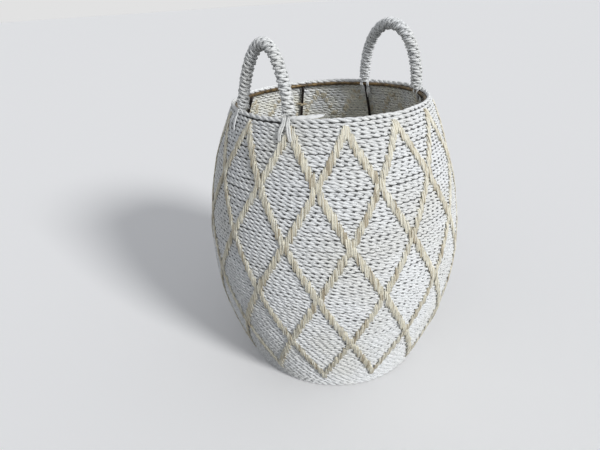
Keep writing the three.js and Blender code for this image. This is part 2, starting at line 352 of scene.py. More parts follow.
def line_waves(length, size, wavelength):
    """Smooth waves along a line."""
    total = np.zeros_like(length)
    for share in (1, 0.6, 0.37):
        turn = 2 * math.pi * length / (wavelength * share) + rng.uniform(0, 2 * math.pi)
        total += size * share * np.sin(turn)
    return total


# Mesh building
BAKE_ENDS = np.array([0.02, 0.02, 0.98, 0.98])
BAKE_EDGE = 0.04
CAP_PATCH = np.array([[0, 0], [0.01, 0], [0.01, 0.01], [0, 0.01]])


def tube_faces(count, sides, links):
    """Point numbers of the faces in the links between a tube's rings. There are count rings."""
    i = np.arange(links)[:, None]
    k = np.arange(sides)[None, :]
    after = (i + 1) % count
    around = (k + 1) % sides
    quads = np.stack([i * sides + k, i * sides + around, after * sides + around, after * sides + k], -1)
    return quads.reshape(-1, 4)


def end_caps(count, sides):
    """Point numbers of the faces that close the two ends of a tube with an even number of sides."""
    cap = np.array([(0, j, j + 1, j + 2) for j in range(1, sides - 2, 2)])
    return cap[:, ::-1], cap + (count - 1) * sides


def around_places(sides):
    """Place round a tube, from 0 to 1, of each corner of a row of its faces."""
    k = np.arange(sides)[None, :]
    return np.stack([k, k + 1, k + 1, k], -1) / sides


def strand_places(tube, links, step_size):
    """Map that follows the tube: the length along it and the place round it of each face's corners."""
    lengths = path_lengths(tube.mean(1))
    ahead = np.r_[lengths[1:], lengths[-1] + step_size][:links]
    u = np.stack([lengths[:links], lengths[:links], ahead, ahead], -1)[:, None, :]
    return np.stack(np.broadcast_arrays(u, around_places(tube.shape[1])), -1).reshape(-1, 4, 2)


def bake_places(sides, links, strip_first, strip_steps, strip_count):
    """Map without overlaps: the tube is cut into strips that lie above each other from strip_first on."""
    i = np.arange(links)[:, None]
    row = strip_first + i // strip_steps
    u = ((i % strip_steps)[:, :, None] + BAKE_ENDS) / strip_steps
    v = (row[:, :, None] + BAKE_EDGE + (1 - 2 * BAKE_EDGE) * around_places(sides)) / strip_count
    return np.stack(np.broadcast_arrays(u, v), -1).reshape(-1, 4, 2)


def new_piece(name, points, corners, maps, tones, material):
    """Object on the basket's body from points, faces, maps and tones."""
    mesh = bpy.data.meshes.new(name)
    mesh.vertices.add(len(points))
    mesh.vertices.foreach_set("co", points.astype(np.float32).ravel())
    mesh.loops.add(corners.size)
    mesh.loops.foreach_set("vertex_index", corners.astype(np.int32).ravel())
    mesh.polygons.add(len(corners))
    mesh.polygons.foreach_set("loop_start", np.arange(0, corners.size, 4, dtype=np.int32))
    mesh.update(calc_edges=True)
    for label, values in maps.items():
        layer = mesh.uv_layers.new(name=label)
        layer.data.foreach_set("uv", np.concatenate(values).astype(np.float32).ravel())
    layer = mesh.attributes.new("tone", "FLOAT", "POINT")
    layer.data.foreach_set("value", tones.astype(np.float32))
    mesh.shade_smooth()
    mesh.materials.append(material)
    piece = bpy.data.objects.new(name, mesh)
    bpy.context.scene.collection.objects.link(piece)
    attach(piece, "root")
    return piece


def mesh_from_tubes(name, tubes, material, closed=False, tones=None):
    """One object from tubes, which are arrays of rings of points. Closed ones end where they start."""
    perimeter = np.linalg.norm(tubes[0][0] - np.roll(tubes[0][0], 1, 0), axis=1).sum()
    step_size = np.linalg.norm(tubes[0][1].mean(0) - tubes[0][0].mean(0))
    steps_total = sum(len(t) for t in tubes)
    strip_steps = max(4, int(math.sqrt(steps_total * perimeter / step_size)))
    strip_count = sum(math.ceil(len(t) / strip_steps) for t in tubes)
    if tones is None:
        tones = np.full(len(tubes), 0.5)
    corners = []
    maps = {"OFBake": [], "strand": []}
    first = 0
    strip_first = 0
    for tube in tubes:
        count, sides, _ = tube.shape
        links = count if closed else count - 1
        corners.append(tube_faces(count, sides, links) + first)
        maps["OFBake"].append(bake_places(sides, links, strip_first, strip_steps, strip_count))
        maps["strand"].append(strand_places(tube, links, step_size))
        caps = () if closed else end_caps(count, sides)
        for cap in caps:
            corners.append(cap + first)
            maps["OFBake"].append(np.broadcast_to(CAP_PATCH / strip_count, (len(cap), 4, 2)))
            maps["strand"].append(np.zeros((len(cap), 4, 2)))
        first += count * sides
        strip_first += math.ceil(count / strip_steps)
    points = np.concatenate([tube.reshape(-1, 3) for tube in tubes])
    tones = np.repeat(tones, [len(tube) * tube.shape[1] for tube in tubes])
    return new_piece(name, points, np.concatenate(corners), maps, tones, material)


def set_marks(piece, values):
    layer = piece.data.attributes.new("inside", "FLOAT", "POINT")
    layer.data.foreach_set("value", np.asarray(values, np.float32))


def mark_inside(piece):
    """Marks how far each point of a piece lies on the inside of the wall, from 0 to 1."""
    points = np.empty(len(piece.data.vertices) * 3, np.float32)
    piece.data.vertices.foreach_get("co", points)
    points = points.reshape(-1, 3)
    middle = wall_radius(points[:, 2]) - WALL_THICK / 2
    depth = middle - np.hypot(points[:, 0], points[:, 1])
    full_depth = 0.002
    set_marks(piece, np.clip(depth / full_depth, 0, 1))


def sweep(centre, first, second, half_first, half_second, sides=STRAND_SIDES):
    """Tube round a line of points, with an elliptical section in the two given directions."""
    angles = 2 * math.pi * (np.arange(sides) + 0.5) / sides
    ring = centre[..., None, :]
    for direction, half, wave in ((first, half_first, np.cos), (second, half_second, np.sin)):
        half = np.broadcast_to(half, centre.shape[:-1])[..., None, None]
        ring = ring + direction[..., None, :] * half * wave(angles)[:, None]
    return ring


def twisted_strands(centre, outward, sideways, turn, scale=1.0, full=1.0):
    """The two strands of a cord. turn is their angle round its middle line at each point, and fuller
    strands leave shallower grooves between them."""
    strands = []
    for side in (0, math.pi):
        c = np.cos(turn + side)[..., None]
        s = np.sin(turn + side)[..., None]
        radial = outward * c + sideways * s
        around = sideways * c - outward * s
        middle = centre + radial * STRAND_OFFSET * scale
        strands.append(sweep(middle, radial, around, STRAND_THICK * scale, STRAND_WIDE * scale * full))
    return strands


# Materials
def node_material(name, roughness):
    material = bpy.data.materials.new(name)
    material.use_nodes = True
    tree = material.node_tree
    shader = tree.nodes["Principled BSDF"]
    shader.inputs["Roughness"].default_value = roughness
    return material, tree, shader


def fill(tree, node, inputs):
    """Fills a node's inputs: a socket is linked, and any other value is set."""
    for key, value in inputs.items():
        if isinstance(value, bpy.types.NodeSocket):
            tree.links.new(value, node.inputs[key])
        else:
            node.inputs[key].default_value = value


def add_node(tree, kind, inputs, **settings):
    node = tree.nodes.new(f"ShaderNode{kind}")
    for key, value in settings.items():
        setattr(node, key, value)
    fill(tree, node, inputs)
    return node


def ramp(tree, source, stops):
    """Colour ramp over (position, colour) stops."""
    node = add_node(tree, "ValToRGB", {"Fac": source})
    elements = node.color_ramp.elements
    while len(elements) < len(stops):
        elements.new(0.5)
    for element, (position, colour) in zip(elements, stops):
        element.position = position
        element.color = (*colour, 1)
    return node.outputs["Color"]


def mix(tree, kind, factor, first, second):
    inputs = {0: factor, 6: first, 7: second}
    return add_node(tree, "Mix", inputs, data_type="RGBA", blend_type=kind).outputs[2]


def attribute(tree, name):
    return add_node(tree, "Attribute", {}, attribute_name=name).outputs["Fac"]


def strand_noise(tree, stretch, detail):
    """Noise stretched along the strands, different on each one, and the strands' tones."""
    tone_distance = 97.0
    uv = add_node(tree, "UVMap", {}, uv_map="strand").outputs["UV"]
    tone = attribute(tree, "tone")
    split = add_node(tree, "SeparateXYZ", {0: uv}).outputs
    shift = add_node(tree, "Math", {0: tone, 1: tone_distance}, operation="MULTIPLY").outputs[0]
    join = add_node(tree, "CombineXYZ", {"X": split["X"], "Y": split["Y"], "Z": shift}).outputs[0]
    place = add_node(tree, "Mapping", {"Vector": join, "Scale": (*stretch, 1)}).outputs[0]
    noise = add_node(tree, "TexNoise", {"Vector": place, "Scale": 1.0, "Detail": detail})
    return noise.outputs["Fac"], tone


def space_noise(tree, scale, detail=2.0):
    place = add_node(tree, "TexCoord", {}).outputs["Object"]
    noise = add_node(tree, "TexNoise", {"Vector": place, "Scale": scale, "Detail": detail})
    return noise.outputs["Fac"]


def bump(tree, height, strength, distance):
    inputs = {"Height": height, "Strength": strength, "Distance": distance}
    return add_node(tree, "Bump", inputs).outputs["Normal"]


def cord_material(name, light, mid, dark, stain, inner):
    """Matt white paper-like strand: fine lengthwise creases with painted shade in them, faint larger
    patches, and painted warm bounce light inside.
    """
    material, tree, shader = node_material(name, 0.62)
    creases, _ = strand_noise(tree, (260, 5), 4.0)
    # The dark end of this ramp is painted shade in the creases, mixed with the strands' own streaks
    streaks_and_crease_shade = ramp(tree, creases, [(0.3, dark), (0.46, mid), (0.62, light)])
    patches = ramp(tree, space_noise(tree, 14), [(0.42, (1, 1, 1)), (0.7, stain)])
    colour = mix(tree, "MULTIPLY", 1.0, streaks_and_crease_shade, patches)
    # Painted warm bounce light, in patches, on the inside of the wall
    inside_bounce_tint = ramp(tree, space_noise(tree, 24), [(0.4, inner), (0.66, (1, 1, 1))])
    colour = mix(tree, "MULTIPLY", attribute(tree, "inside"), colour, inside_bounce_tint)
    creased = bump(tree, creases, 0.5, 0.0006)
    fill(tree, shader, {"Base Color": colour, "Specular IOR Level": 0.15, "Normal": creased})
    return material


def shade_sheet_material(name, outside, within):
    """Thin sheet in the middle of the wall: painted shade, dark where it shows between the courses outside,
    and paler inside.
    """
    material, tree, shader = node_material(name, 0.8)
    specks = space_noise(tree, 300)
    outer = ramp(tree, specks, [(0.35, outside[0]), (0.65, outside[1])])
    inner = ramp(tree, specks, [(0.35, within[0]), (0.65, within[1])])
    colour = mix(tree, "MIX", attribute(tree, "inside"), outer, inner)
    fill(tree, shader, {"Base Color": colour, "Normal": bump(tree, specks, 0.4, 0.0005)})
    return material


def palm_material(name, stops):
    """Dry leaf strip: parallel fibres, with another shade on each strip."""
    material, tree, shader = node_material(name, 0.5)
    shades = [(0.0, (0.56, 0.49, 0.4)), (0.32, (0.85, 0.81, 0.74)), (0.6, (1, 1, 1)), (1.0, (1, 0.97, 0.9))]
    fibres, tone = strand_noise(tree, (45, 9), 5.0)
    colour = mix(tree, "MULTIPLY", 1.0, ramp(tree, fibres, stops), ramp(tree, tone, shades))
    fill(tree, shader, {"Base Color": colour, "Normal": bump(tree, fibres, 0.7, 0.0005)})
    return material


def wire_material(name, dark, light, roughness):
    """Lacquered iron wire with rust-brown blotches."""
    material, tree, shader = node_material(name, roughness)
    blotches = space_noise(tree, 160, 4.0)
    colour = ramp(tree, blotches, [(0.38, dark), (0.68, light)])
    rough = bump(tree, blotches, 0.4, 0.0004)
    fill(tree, shader, {"Base Color": colour, "Metallic": 0.2, "Normal": rough})
    return material


WHITE = cord_material(
    "white_cord",
    light=(0.89, 0.905, 0.91),
    mid=(0.8, 0.815, 0.82),
    # dark is partly painted shade in the creases
    dark=(0.52, 0.53, 0.54),
    stain=(0.94, 0.93, 0.9),
    # inner is the tint of painted warm bounce light inside
    inner=(1, 0.97, 0.86),
)
# Painted shade: the thin sheet that shows dark deep between the courses outside, and paler inside
SHADE_SHEET = shade_sheet_material(
    "cord_shade_sheet",
    outside=[(0.04, 0.04, 0.04), (0.1, 0.1, 0.1)],
    within=[(0.3, 0.28, 0.25), (0.5, 0.48, 0.43)],
)
PALM = palm_material(
    "palm_leaf", [(0.3, (0.38, 0.34, 0.25)), (0.43, (0.78, 0.75, 0.63)), (0.57, (0.97, 0.96, 0.87))]
)
PALM_INSIDE = palm_material(
    "palm_leaf_inside", [(0.3, (0.6, 0.55, 0.42)), (0.45, (0.76, 0.71, 0.58)), (0.6, (0.86, 0.82, 0.71))]
)
IRON = wire_material("iron_wire", (0.01, 0.007, 0.007), (0.035, 0.022, 0.02), 0.5)
BRONZE = wire_material("bronze_wire", (0.05, 0.032, 0.014), (0.23, 0.15, 0.058), 0.45)


# Woven wall: courses of twisted cord, lowest first
def course_twists(length):
    """Full twists in the closed course at this length, a whole number."""
    return round(2 * math.pi * (wall_at(length)[0] - WALL_THICK / 2) / TWIST)


def wall_course(length, phase, lift_share):
    """The two strands of one closed course. Above 0, lift_share is its share of the top courses' lift."""
    loose = np.clip(length / LOOSE_LENGTH, LOOSE_LEAST, 1)
    angle = ring_angles(WALL_STEPS)
    bulge = ring_waves(angle, BULGE_WAVES, 2, 26) * loose
    rise = (ring_waves(angle, RISE_WAVES, 2, 22) + rng.normal(0, COURSE_SHIFT)) * loose
    if lift_share > 0:
        away = np.arccos(np.cos(angle - math.radians(HANDLES["left"][0]) + TOP_GAP_TURN))
        free = np.clip((away - TOP_GAP_HALF) / TOP_GAP_EASE, TOP_GAP_DIP, 1)
        rise = rise * (1 - TOP_CALM * lift_share) + TOP_LIFT * lift_share * free
        bulge = bulge + TOP_SWELL * lift_share * free
    lengths = np.full(WALL_STEPS, length)
    centre, outward, upward = wall_point(angle, lengths, -WALL_THICK / 2 + bulge)
    centre = centre + upward * rise[:, None]
    slip = ring_waves(angle, SLIP_WAVES, 1, 14) * loose
    turn = phase - course_twists(length) * angle + slip
    full = FULL_START + FULL_GAIN * loose - FULL_TURN * np.cos(angle - FRONT)
    full = full + ring_waves(angle, FULL_WAVES, 1, 12)
    return twisted_strands(centre, outward, upward, turn, 1.0, full)


def make_wall():
    """The wall in three pieces. Returns the twist at which the rim rope goes on."""
    rows = round(WALL_LENGTH / CORD)
    pitch = WALL_LENGTH / rows
    strands = []
    phase = FIRST_PHASE
    for row in range(rows):
        length = (row + 0.5) * pitch
        strands += wall_course(length, phase, 1 - (rows - 1 - row) / TOP_COURSES)
        if length < BRICK_LENGTH:
            added = course_twists(length + pitch) - course_twists(length)
            phase += added * FRONT - rng.normal(*BRICK_STEP)
        else:
            phase += rng.normal(*FREE_STEP)
    parts = ("lower", "middle", "upper")
    share = math.ceil(len(strands) / len(parts))
    tones = rng.uniform(0, 1, len(strands))
    for part, name in enumerate(parts):
        chosen = slice(part * share, (part + 1) * share)
        piece = mesh_from_tubes(f"woven_wall_{name}", strands[chosen], WHITE, True, tones[chosen])
        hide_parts("woven_wall")
        mark_inside(piece)
    return phase


def make_wall_shade_sheet():
    """Thin sheet in the middle of the wall, seen only deep between the courses, as painted shade."""
    lengths = np.linspace(SHADE_SHEET_MARGIN, WALL_LENGTH - SHADE_SHEET_MARGIN, SHADE_SHEET_ROWS)
    sections = []
    for turn in ring_angles(SHADE_SHEET_STEPS):
        outer = wall_point(turn, lengths, -WALL_THICK / 2 + SHADE_SHEET_HALF)[0]
        inner = wall_point(turn, lengths, -WALL_THICK / 2 - SHADE_SHEET_HALF)[0]
        sections.append(np.concatenate([outer, inner[::-1]]))
    piece = mesh_from_tubes("woven_wall_shade_sheet", [np.array(sections)], SHADE_SHEET, True)
    set_marks(piece, np.tile(np.repeat([0, 1], len(lengths)), len(sections)))
    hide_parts("woven_wall")


def make_rim_shade_sheet():
    """Thin sheet from the top course up into the rim rope, painted shade in the gap between them."""
    radius, height, _ = ring_size("rim_rope")
    outward = outward_at(ring_angles(SHADE_SHEET_STEPS))
    low = outward * (WALL_RADII[-1] - WALL_THICK / 2)
    low[:, 2] = WALL_TOP - CORD / 2
    high = outward * (radius - RIM_SHADE_SHEET_INSET)
    high[:, 2] = height
    half = outward * 2 * SHADE_SHEET_HALF
    section = np.stack([low - half, low + half, high + half, high - half], 1)
    piece = mesh_from_tubes("rim_shade_sheet", [section], SHADE_SHEET, True)
    set_marks(piece, np.zeros(4 * len(outward)))
    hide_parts("rim_rope")


def make_rim(phase):
    radius, height, _ = ring_size("rim_rope")
    angle = ring_angles(WALL_STEPS)
    outward = outward_at(angle)
    upward = straight_up(WALL_STEPS)
    centre = outward * (radius + ring_waves(angle, RIM_WAVES, 2, 20))[:, None]
    centre += upward * (height + ring_waves(angle, RIM_WAVES, 2, 20))[:, None]
    twists = round(2 * math.pi * radius / TWIST)
    turn = phase + ring_waves(angle, SLIP_WAVES, 1, 14) - twists * angle
    full = RIM_FULL - RIM_FULL_TURN * np.cos(angle - FRONT)
    strands = twisted_strands(centre, outward, upward, turn, RIM_SCALE, full)
    piece = mesh_from_tubes("rim_rope_strands", strands, WHITE, True, rng.uniform(0, 1, 2))
    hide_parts("rim_rope")


last_phase = make_wall()
make_wall_shade_sheet()
make_rim_shade_sheet()
make_rim(last_phase)


# Base: one cord in a flat spiral
def make_base():
    low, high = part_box("woven_base")
    reach = outline("woven_base")[1][0] - CORD / 2
    start = BASE_START * CORD
    turns = (reach - start) / CORD
    fine = np.linspace(0, 2 * math.pi * turns, 40000)
    radius = start + CORD * fine / (2 * math.pi)
    lengths = np.r_[0, np.cumsum(np.hypot(np.diff(radius), np.diff(fine) * radius[1:]))]
    along = np.arange(0, lengths[-1], CORD_STEP)
    angle = np.interp(along, lengths, fine)
    radius = np.interp(along, lengths, radius)
    outward = outward_at(angle)
    upward = straight_up(len(angle))
    centre = outward * radius[:, None] + upward * (low.z + high.z) / 2
    turn = line_waves(along, 0.5, 0.31) - 2 * math.pi * along / TWIST
    strands = twisted_strands(centre, outward, upward, turn, BASE_SCALE)
    piece = mesh_from_tubes("woven_base_spiral", strands, WHITE, False, rng.uniform(0, 1, 2))
    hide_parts("woven_base")


make_base()


# Palm-leaf lattice
def lattice_height(level):
    return np.interp(level, np.arange(len(LATTICE_LEVELS)), LATTICE_LEVELS)


def stitch_strips(angle, length, reach, top, ends, count, slant=0.0, stagger=0.0):
    """Fibres of one upright stitch. They lie at the level top and dive to the level ends at both ends.
    With stagger each fibre starts higher than the one before it."""
    t = np.linspace(0, 1, STITCH_STEPS)
    tilt = rng.normal(0, STITCH_TILT) + slant
    strips = []
    for number in range(count):
        across = (number - (count - 1) / 2) * STRIP_SPACING * rng.uniform(0.92, 1.06)
        gather = 1 - 0.4 * np.abs(2 * t - 1) ** 3
        sway = (tilt + rng.normal(0, FIBRE_TILT)) * (2 * t - 1)
        sway = sway + rng.normal(0, FIBRE_SWAY) * np.sin(math.pi * t)
        up = length + (t - 0.5) * reach * rng.uniform(0.85, 1.08) + rng.normal(0, FIBRE_SHIFT)
        up = up + stagger * across
        arch = 1 - np.abs(2 * t - 1) ** 5
        raised = ends + (top - ends + rng.normal(0, FIBRE_RISE)) * arch
        turn = angle + (across * gather + sway) / wall_at(up)[0]
        centre, outward, _ = wall_point(turn, up, raised)
        run = unit(np.gradient(centre, axis=0))
        side = unit(np.cross(run, outward))
        taper = 0.4 + 0.6 * arch
        wide = STRIP_WIDE * rng.uniform(0.8, 1.12) * taper
        thick = STRIP_THICK * rng.uniform(0.8, 1.15) * taper
        strips.append(sweep(centre, np.cross(side, run), side, thick, wide))
    return strips


def band_places(band, direction):
    """Angle, length up the wall and levels past the nearest crossing of a band's stitches, from the top."""
    step = 2 * math.pi / LATTICE_COUNT
    levels = len(LATTICE_LEVELS) - 1
    for stitch in range(round(levels * LEVEL_STITCHES)):
        level = (stitch + 0.5) / LEVEL_STITCHES
        angle = LATTICE_START + band * step + direction * level * step / 2
        near = min((level - crossing for crossing in range(1, levels)), key=abs)
        yield angle, wall_length(lattice_height(level)), near


def band_stitches(places, direction, strip_count):
    """Fibres of a band's stitches, each with its tone. At a crossing the stitches of the two bands
    stand beside each other, and those of the right bands lie higher."""
    lift = STRIP_THICK + SEAT_GAP
    made = []
    for angle, length, near in places:
        reach = STITCH_LENGTH * rng.uniform(0.92, 1.1)
        over = 0
        if abs(near) < CROSSING_REACH:
            over = STRIP_THICK if direction > 0 else 0
            reach *= CROSSING_SHARE
            beside = math.copysign(CROSSING_APART, near or 1) * direction
            angle += beside / wall_at(length)[0] - direction * near * math.pi / LATTICE_COUNT
        stagger = -STITCH_STAGGER * direction
        new = stitch_strips(angle, length, reach, lift + over, STITCH_ENDS, strip_count, stagger=stagger)
        tones = rng.normal(*STITCH_TONE) + rng.normal(0, FIBRE_TONE, len(new))
        made += zip(new, np.clip(tones, 0, 1))
    return made


def band_returns(places, direction):
    """Fibres of a band's returns, which lie inside between its stitches, each with its tone."""
    under = -WALL_THICK + RETURN_GAP
    slant = direction * RETURN_SLANT
    made = []
    for (angle, length, _), (next_angle, next_length, _) in zip(places, places[1:]):
        middle = (angle + next_angle) / 2 + rng.normal(0, 0.01)
        place = (length + next_length) / 2 + rng.normal(0, 0.002)
        reach = rng.uniform(*RETURN_LENGTHS)
        new = stitch_strips(middle, place, reach, under, RETURN_ENDS, RETURN_STRIPS, slant)
        made += zip(new, np.clip(rng.normal(*RETURN_TONE, len(new)), 0, 1))
    return made


def make_lattice():
    for direction, word in ((1, "right"), (-1, "left")):
        outer, inner = [], []
        for band in range(LATTICE_COUNT):
            places = list(band_places(band, direction))
            outer += band_stitches(places, direction, STITCH_STRIPS[word])
            inner += band_returns(places, direction)
        names = [f"palm_band_{word}_{number + 1}" for number in range(LATTICE_COUNT)]
        for kind, made, material in (("stitches", outer, PALM), ("returns", inner, PALM_INSIDE)):
            strips, tones = zip(*made)
            piece = mesh_from_tubes(f"palm_{kind}_{word}", strips, material, False, tones)
            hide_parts(*names)


make_lattice()


# Handles
RING_RADIUS, RING_HEIGHT, RING_WIRE = ring_size("top_ring")
ROPE_RADIUS, ROPE_HEIGHT, ROPE_THICK = ring_size("rim_rope")
LEG_RADIUS = ROPE_RADIUS - ROPE_THICK / 2 - SEAT_GAP - HANDLE_WIRE / 2
FOOT_HEIGHT = RING_HEIGHT + RING_WIRE / 2 + FOOT_GAP
TIE_TOP = ROPE_HEIGHT + ROPE_THICK / 2 + SEAT_GAP + TIE_THICKNESS


class Arch:
    """Middle line of a handle's wire."""

    def __init__(self, side):
        angle, half, height, fullness, lean, self.winding = HANDLES[side]
        self.droop = DROOPS[side]
        self.flares = FLARES[side]
        half = math.radians(half)
        place = Matrix.Rotation(math.radians(angle), 3, "Z")
        foot = np.array(place @ Vector((LEG_RADIUS * math.cos(half), 0, FOOT_HEIGHT)))
        turn = place @ Matrix.Rotation(math.radians(lean), 3, "Y")
        self.across, along, up = (np.array(turn.col[i]) for i in range(3))
        t = np.linspace(0, math.pi, 4001)
        offset = -LEG_RADIUS * math.sin(half) * np.cos(t)[:, None] * along
        rise = ROPE_HEIGHT + ROPE_THICK / 2 + height - FOOT_HEIGHT
        lift = rise * (np.abs(np.sin(t)) ** fullness)[:, None] * up
        self.points = foot + offset + lift
        self.lengths = path_lengths(self.points)
        self.total = self.lengths[-1]

    def read(self, s):
        return read_line(s, self.lengths, self.points)

    def at(self, s):
        """Point, direction and outward normal at lengths along the wire."""
        nudge = 0.0012
        after = self.read(np.clip(s + nudge, 0, self.total))
        before = self.read(np.clip(s - nudge, 0, self.total))
        tangent = unit(after - before)
        return self.read(s), tangent, np.cross(self.across, tangent)

    def bend(self, s):
        """How much the wire turns per metre at lengths along it."""
        nudge = 0.003
        before = self.at(np.clip(s - nudge, nudge, self.total - nudge))[1]
        after = self.at(np.clip(s + nudge, nudge, self.total - nudge))[1]
        return np.arccos(np.clip((before * after).sum(1), -1, 1)) / (2 * nudge)


def winding_turns(arch, axis_radius, start, first_turn):
    """Lengths along the wire, its bend, the cord's pitch and the angle that the cord has wound. The
    turns are closer at the ends, and their count is a third short of a whole number."""
    fine = np.linspace(start, arch.total - start, 6000)
    bend = arch.bend(fine)
    pitch = CORD * (1 + BEND_PITCH * bend * axis_radius)
    from_end = np.minimum(fine - fine[0], fine[-1] - fine) / CORD
    pitch *= END_PITCH + (1 - END_PITCH) * np.clip(from_end - 0.3, 0, 1)
    turns = np.r_[0, np.cumsum(np.diff(fine) / pitch[1:])]
    wound = 2 * math.pi * turns * (round(turns[-1]) - 1 / 3) / turns[-1] + math.radians(first_turn)
    return fine, bend, pitch, wound


def stretched(strand, centre, stretches):
    """A strand stretched about its cord's middle line. stretches are pairs of direction and factor."""
    offset = strand - centre[:, None, :]
    for direction, factor in stretches:
        part = (offset * direction[:, None, :]).sum(-1, keepdims=True) * direction[:, None, :]
        strand = strand + part * (np.broadcast_to(factor, len(centre))[:, None, None] - 1)
    return strand


def winding_cord(arch, first_turn):
    """The two strands of the cord that is wound round an arch. It starts at the angle first_turn."""
    axis_radius = HANDLE_WIRE / 2 + SEAT_GAP + arch.winding / 2
    start = TIE_TOP - FOOT_HEIGHT + arch.winding / 2 - WINDING_SINK
    fine, bend, pitch, wound = winding_turns(arch, axis_radius, start, first_turn)
    lengths = np.r_[0, np.cumsum(np.hypot(np.diff(wound) * axis_radius, np.diff(fine)))]
    along = np.arange(0, lengths[-1], HANDLE_STEP)
    s = np.interp(along, lengths, fine)
    wound = np.interp(along, lengths, wound)
    normal = arch.at(s)[2]
    outward = normal * np.cos(wound)[:, None] - arch.across * np.sin(wound)[:, None]
    inward = np.clip(np.sin(wound), 0, 1)
    from_feet = (s - start, arch.total - start - s)
    droops = [arch.droop * inward * np.clip(1 - foot / DROOP_REACH, 0, 1) for foot in from_feet]
    point, tangent, _ = arch.at(s - droops[0] + droops[1])
    lift = axis_radius + line_waves(along, WINDING_WAVES, 0.047)
    for flare, foot in zip(arch.flares, from_feet):
        lift = lift + flare * np.clip(1 - foot / FLARE_REACH, 0, 1)
    centre = point + outward * lift[:, None] + tangent * line_waves(along, WINDING_SLIP, 0.061)[:, None]
    run = unit(np.gradient(centre, axis=0))
    sideways = unit(np.cross(run, outward))
    crowding = 1 + np.interp(s, fine, bend) * axis_radius * np.cos(wound)
    spread = np.clip(np.interp(s, fine, pitch) / CORD * crowding, *SPREADS)
    turn = 2 * math.pi * along / HANDLE_TWIST + line_waves(along, 0.25, 0.23)
    strands = twisted_strands(centre, outward, sideways, turn, 1.0, HANDLE_FULL)
    stretches = ((tangent, spread), (outward, arch.winding / CORD))
    return [stretched(strand, centre, stretches) for strand in strands]


def sleeve_tube(arch):
    """Paper-thin white strip right on the wire, under the cord."""
    s = np.linspace(SLEEVE, arch.total - SLEEVE, 160)
    point, _, normal = arch.at(s)
    radius = HANDLE_WIRE / 2 + SLEEVE
    across = np.tile(arch.across, (len(s), 1))
    return sweep(point, normal, across, radius, radius, WIRE_SIDES)


def foot_wraps(arch):
    """A few tight turns of flat strip round each leg from the ring to the ties, kept inside the rim."""
    wraps = []
    end = TIE_TOP - FOOT_HEIGHT + WRAP_START
    t = np.linspace(0, 1, 24 * WRAP_TURNS)
    for first, last in ((WRAP_START, end), (arch.total - end, arch.total - WRAP_START)):
        point, tangent, normal = arch.at(first + (last - first) * t)
        wound = 2 * math.pi * WRAP_TURNS * t
        outward = normal * np.cos(wound)[:, None] + arch.across * np.sin(wound)[:, None]
        radius = HANDLE_WIRE / 2 + WRAP_LIFT
        centre = point + outward * radius
        reach = np.hypot(centre[:, 0], centre[:, 1])
        limit = LEG_RADIUS + HANDLE_WIRE / 2 + WRAP_LIMIT
        centre[:, :2] *= (np.minimum(reach, limit) / reach)[:, None]
        wraps.append(sweep(centre, outward, tangent, WRAP_THICK, WRAP_WIDE))
    return wraps


def make_handle(side):
    arch = Arch(side)
    strands = winding_cord(arch, FIRST_TURNS[side])
    made = {
        "cord": (strands, rng.uniform(0, 1, 2)),
        "sleeve": ([sleeve_tube(arch)], [0.3]),
        "foot_wraps": (foot_wraps(arch), [0.7, 0.4]),
    }
    for name, (tubes, tones) in made.items():
        piece = mesh_from_tubes(f"{side}_handle_{name}", tubes, WHITE, False, tones)
        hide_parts(f"{side}_handle_winding")


for handle_side in HANDLES:
    make_handle(handle_side)


# Ties: each is a doubled strand over the rim, flat and leaf-shaped where its loop hangs outside
def tie_line(inside, splay, bulge):
    """Radius, height and sideways offset along a tie, from its outer end to its inner end."""
    lift = SEAT_GAP + TIE_THICKNESS / 2
    beside = HANDLE_WIRE / 2 + SEAT_GAP + TIE_WIDTH / 2

    def round_rod(radius, height, thick, degrees):
        turn = math.radians(degrees)
        reach = thick / 2 + lift
        return radius + reach * math.cos(turn), height + reach * math.sin(turn)

    places = []
    for share in (0, 0.25, 0.5, 0.75, 1):
        height = WALL_TOP - TIE_OUTSIDE + TIE_OUTSIDE * share
        out = lift + TIE_BOW * math.sin(math.pi * share) + TIE_END_LIFT * (1 - share)
        side = TIE_PINCH + bulge * math.sin(math.pi * share**0.7) + splay * (1 - share)
        places.append((wall_radius(height) + out, height, side))
    for degrees in (0, 30, 60, 90, 120, 150):
        side = TIE_PINCH + (beside - TIE_PINCH) * min(1, max(0, (degrees - 45) / 75))
        places.append((*round_rod(ROPE_RADIUS, ROPE_HEIGHT, ROPE_THICK, degrees), side))
    for degrees in (140, 180, 220):
        places.append((*round_rod(RING_RADIUS, RING_HEIGHT, RING_WIRE, degrees), beside))
    for share in (0.75, 0.5, 0.25, 0):
        height = RING_HEIGHT - inside + inside * share
        radius = wall_radius(height) - WALL_THICK - lift - TIE_HANG * (1 - share) ** 0.5
        places.append((radius, height, beside * (0.6 + 0.4 * share)))
    places = np.array(places)
    chords = path_lengths(places)
    line = read_line(np.linspace(0, chords[-1], TIE_STEPS), chords, places)
    kernel = np.array([0.25, 0.5, 0.25])
    for _ in range(3):
        for i in range(3):
            line[1:-1, i] = np.convolve(line[:, i], kernel, "valid")
    return line


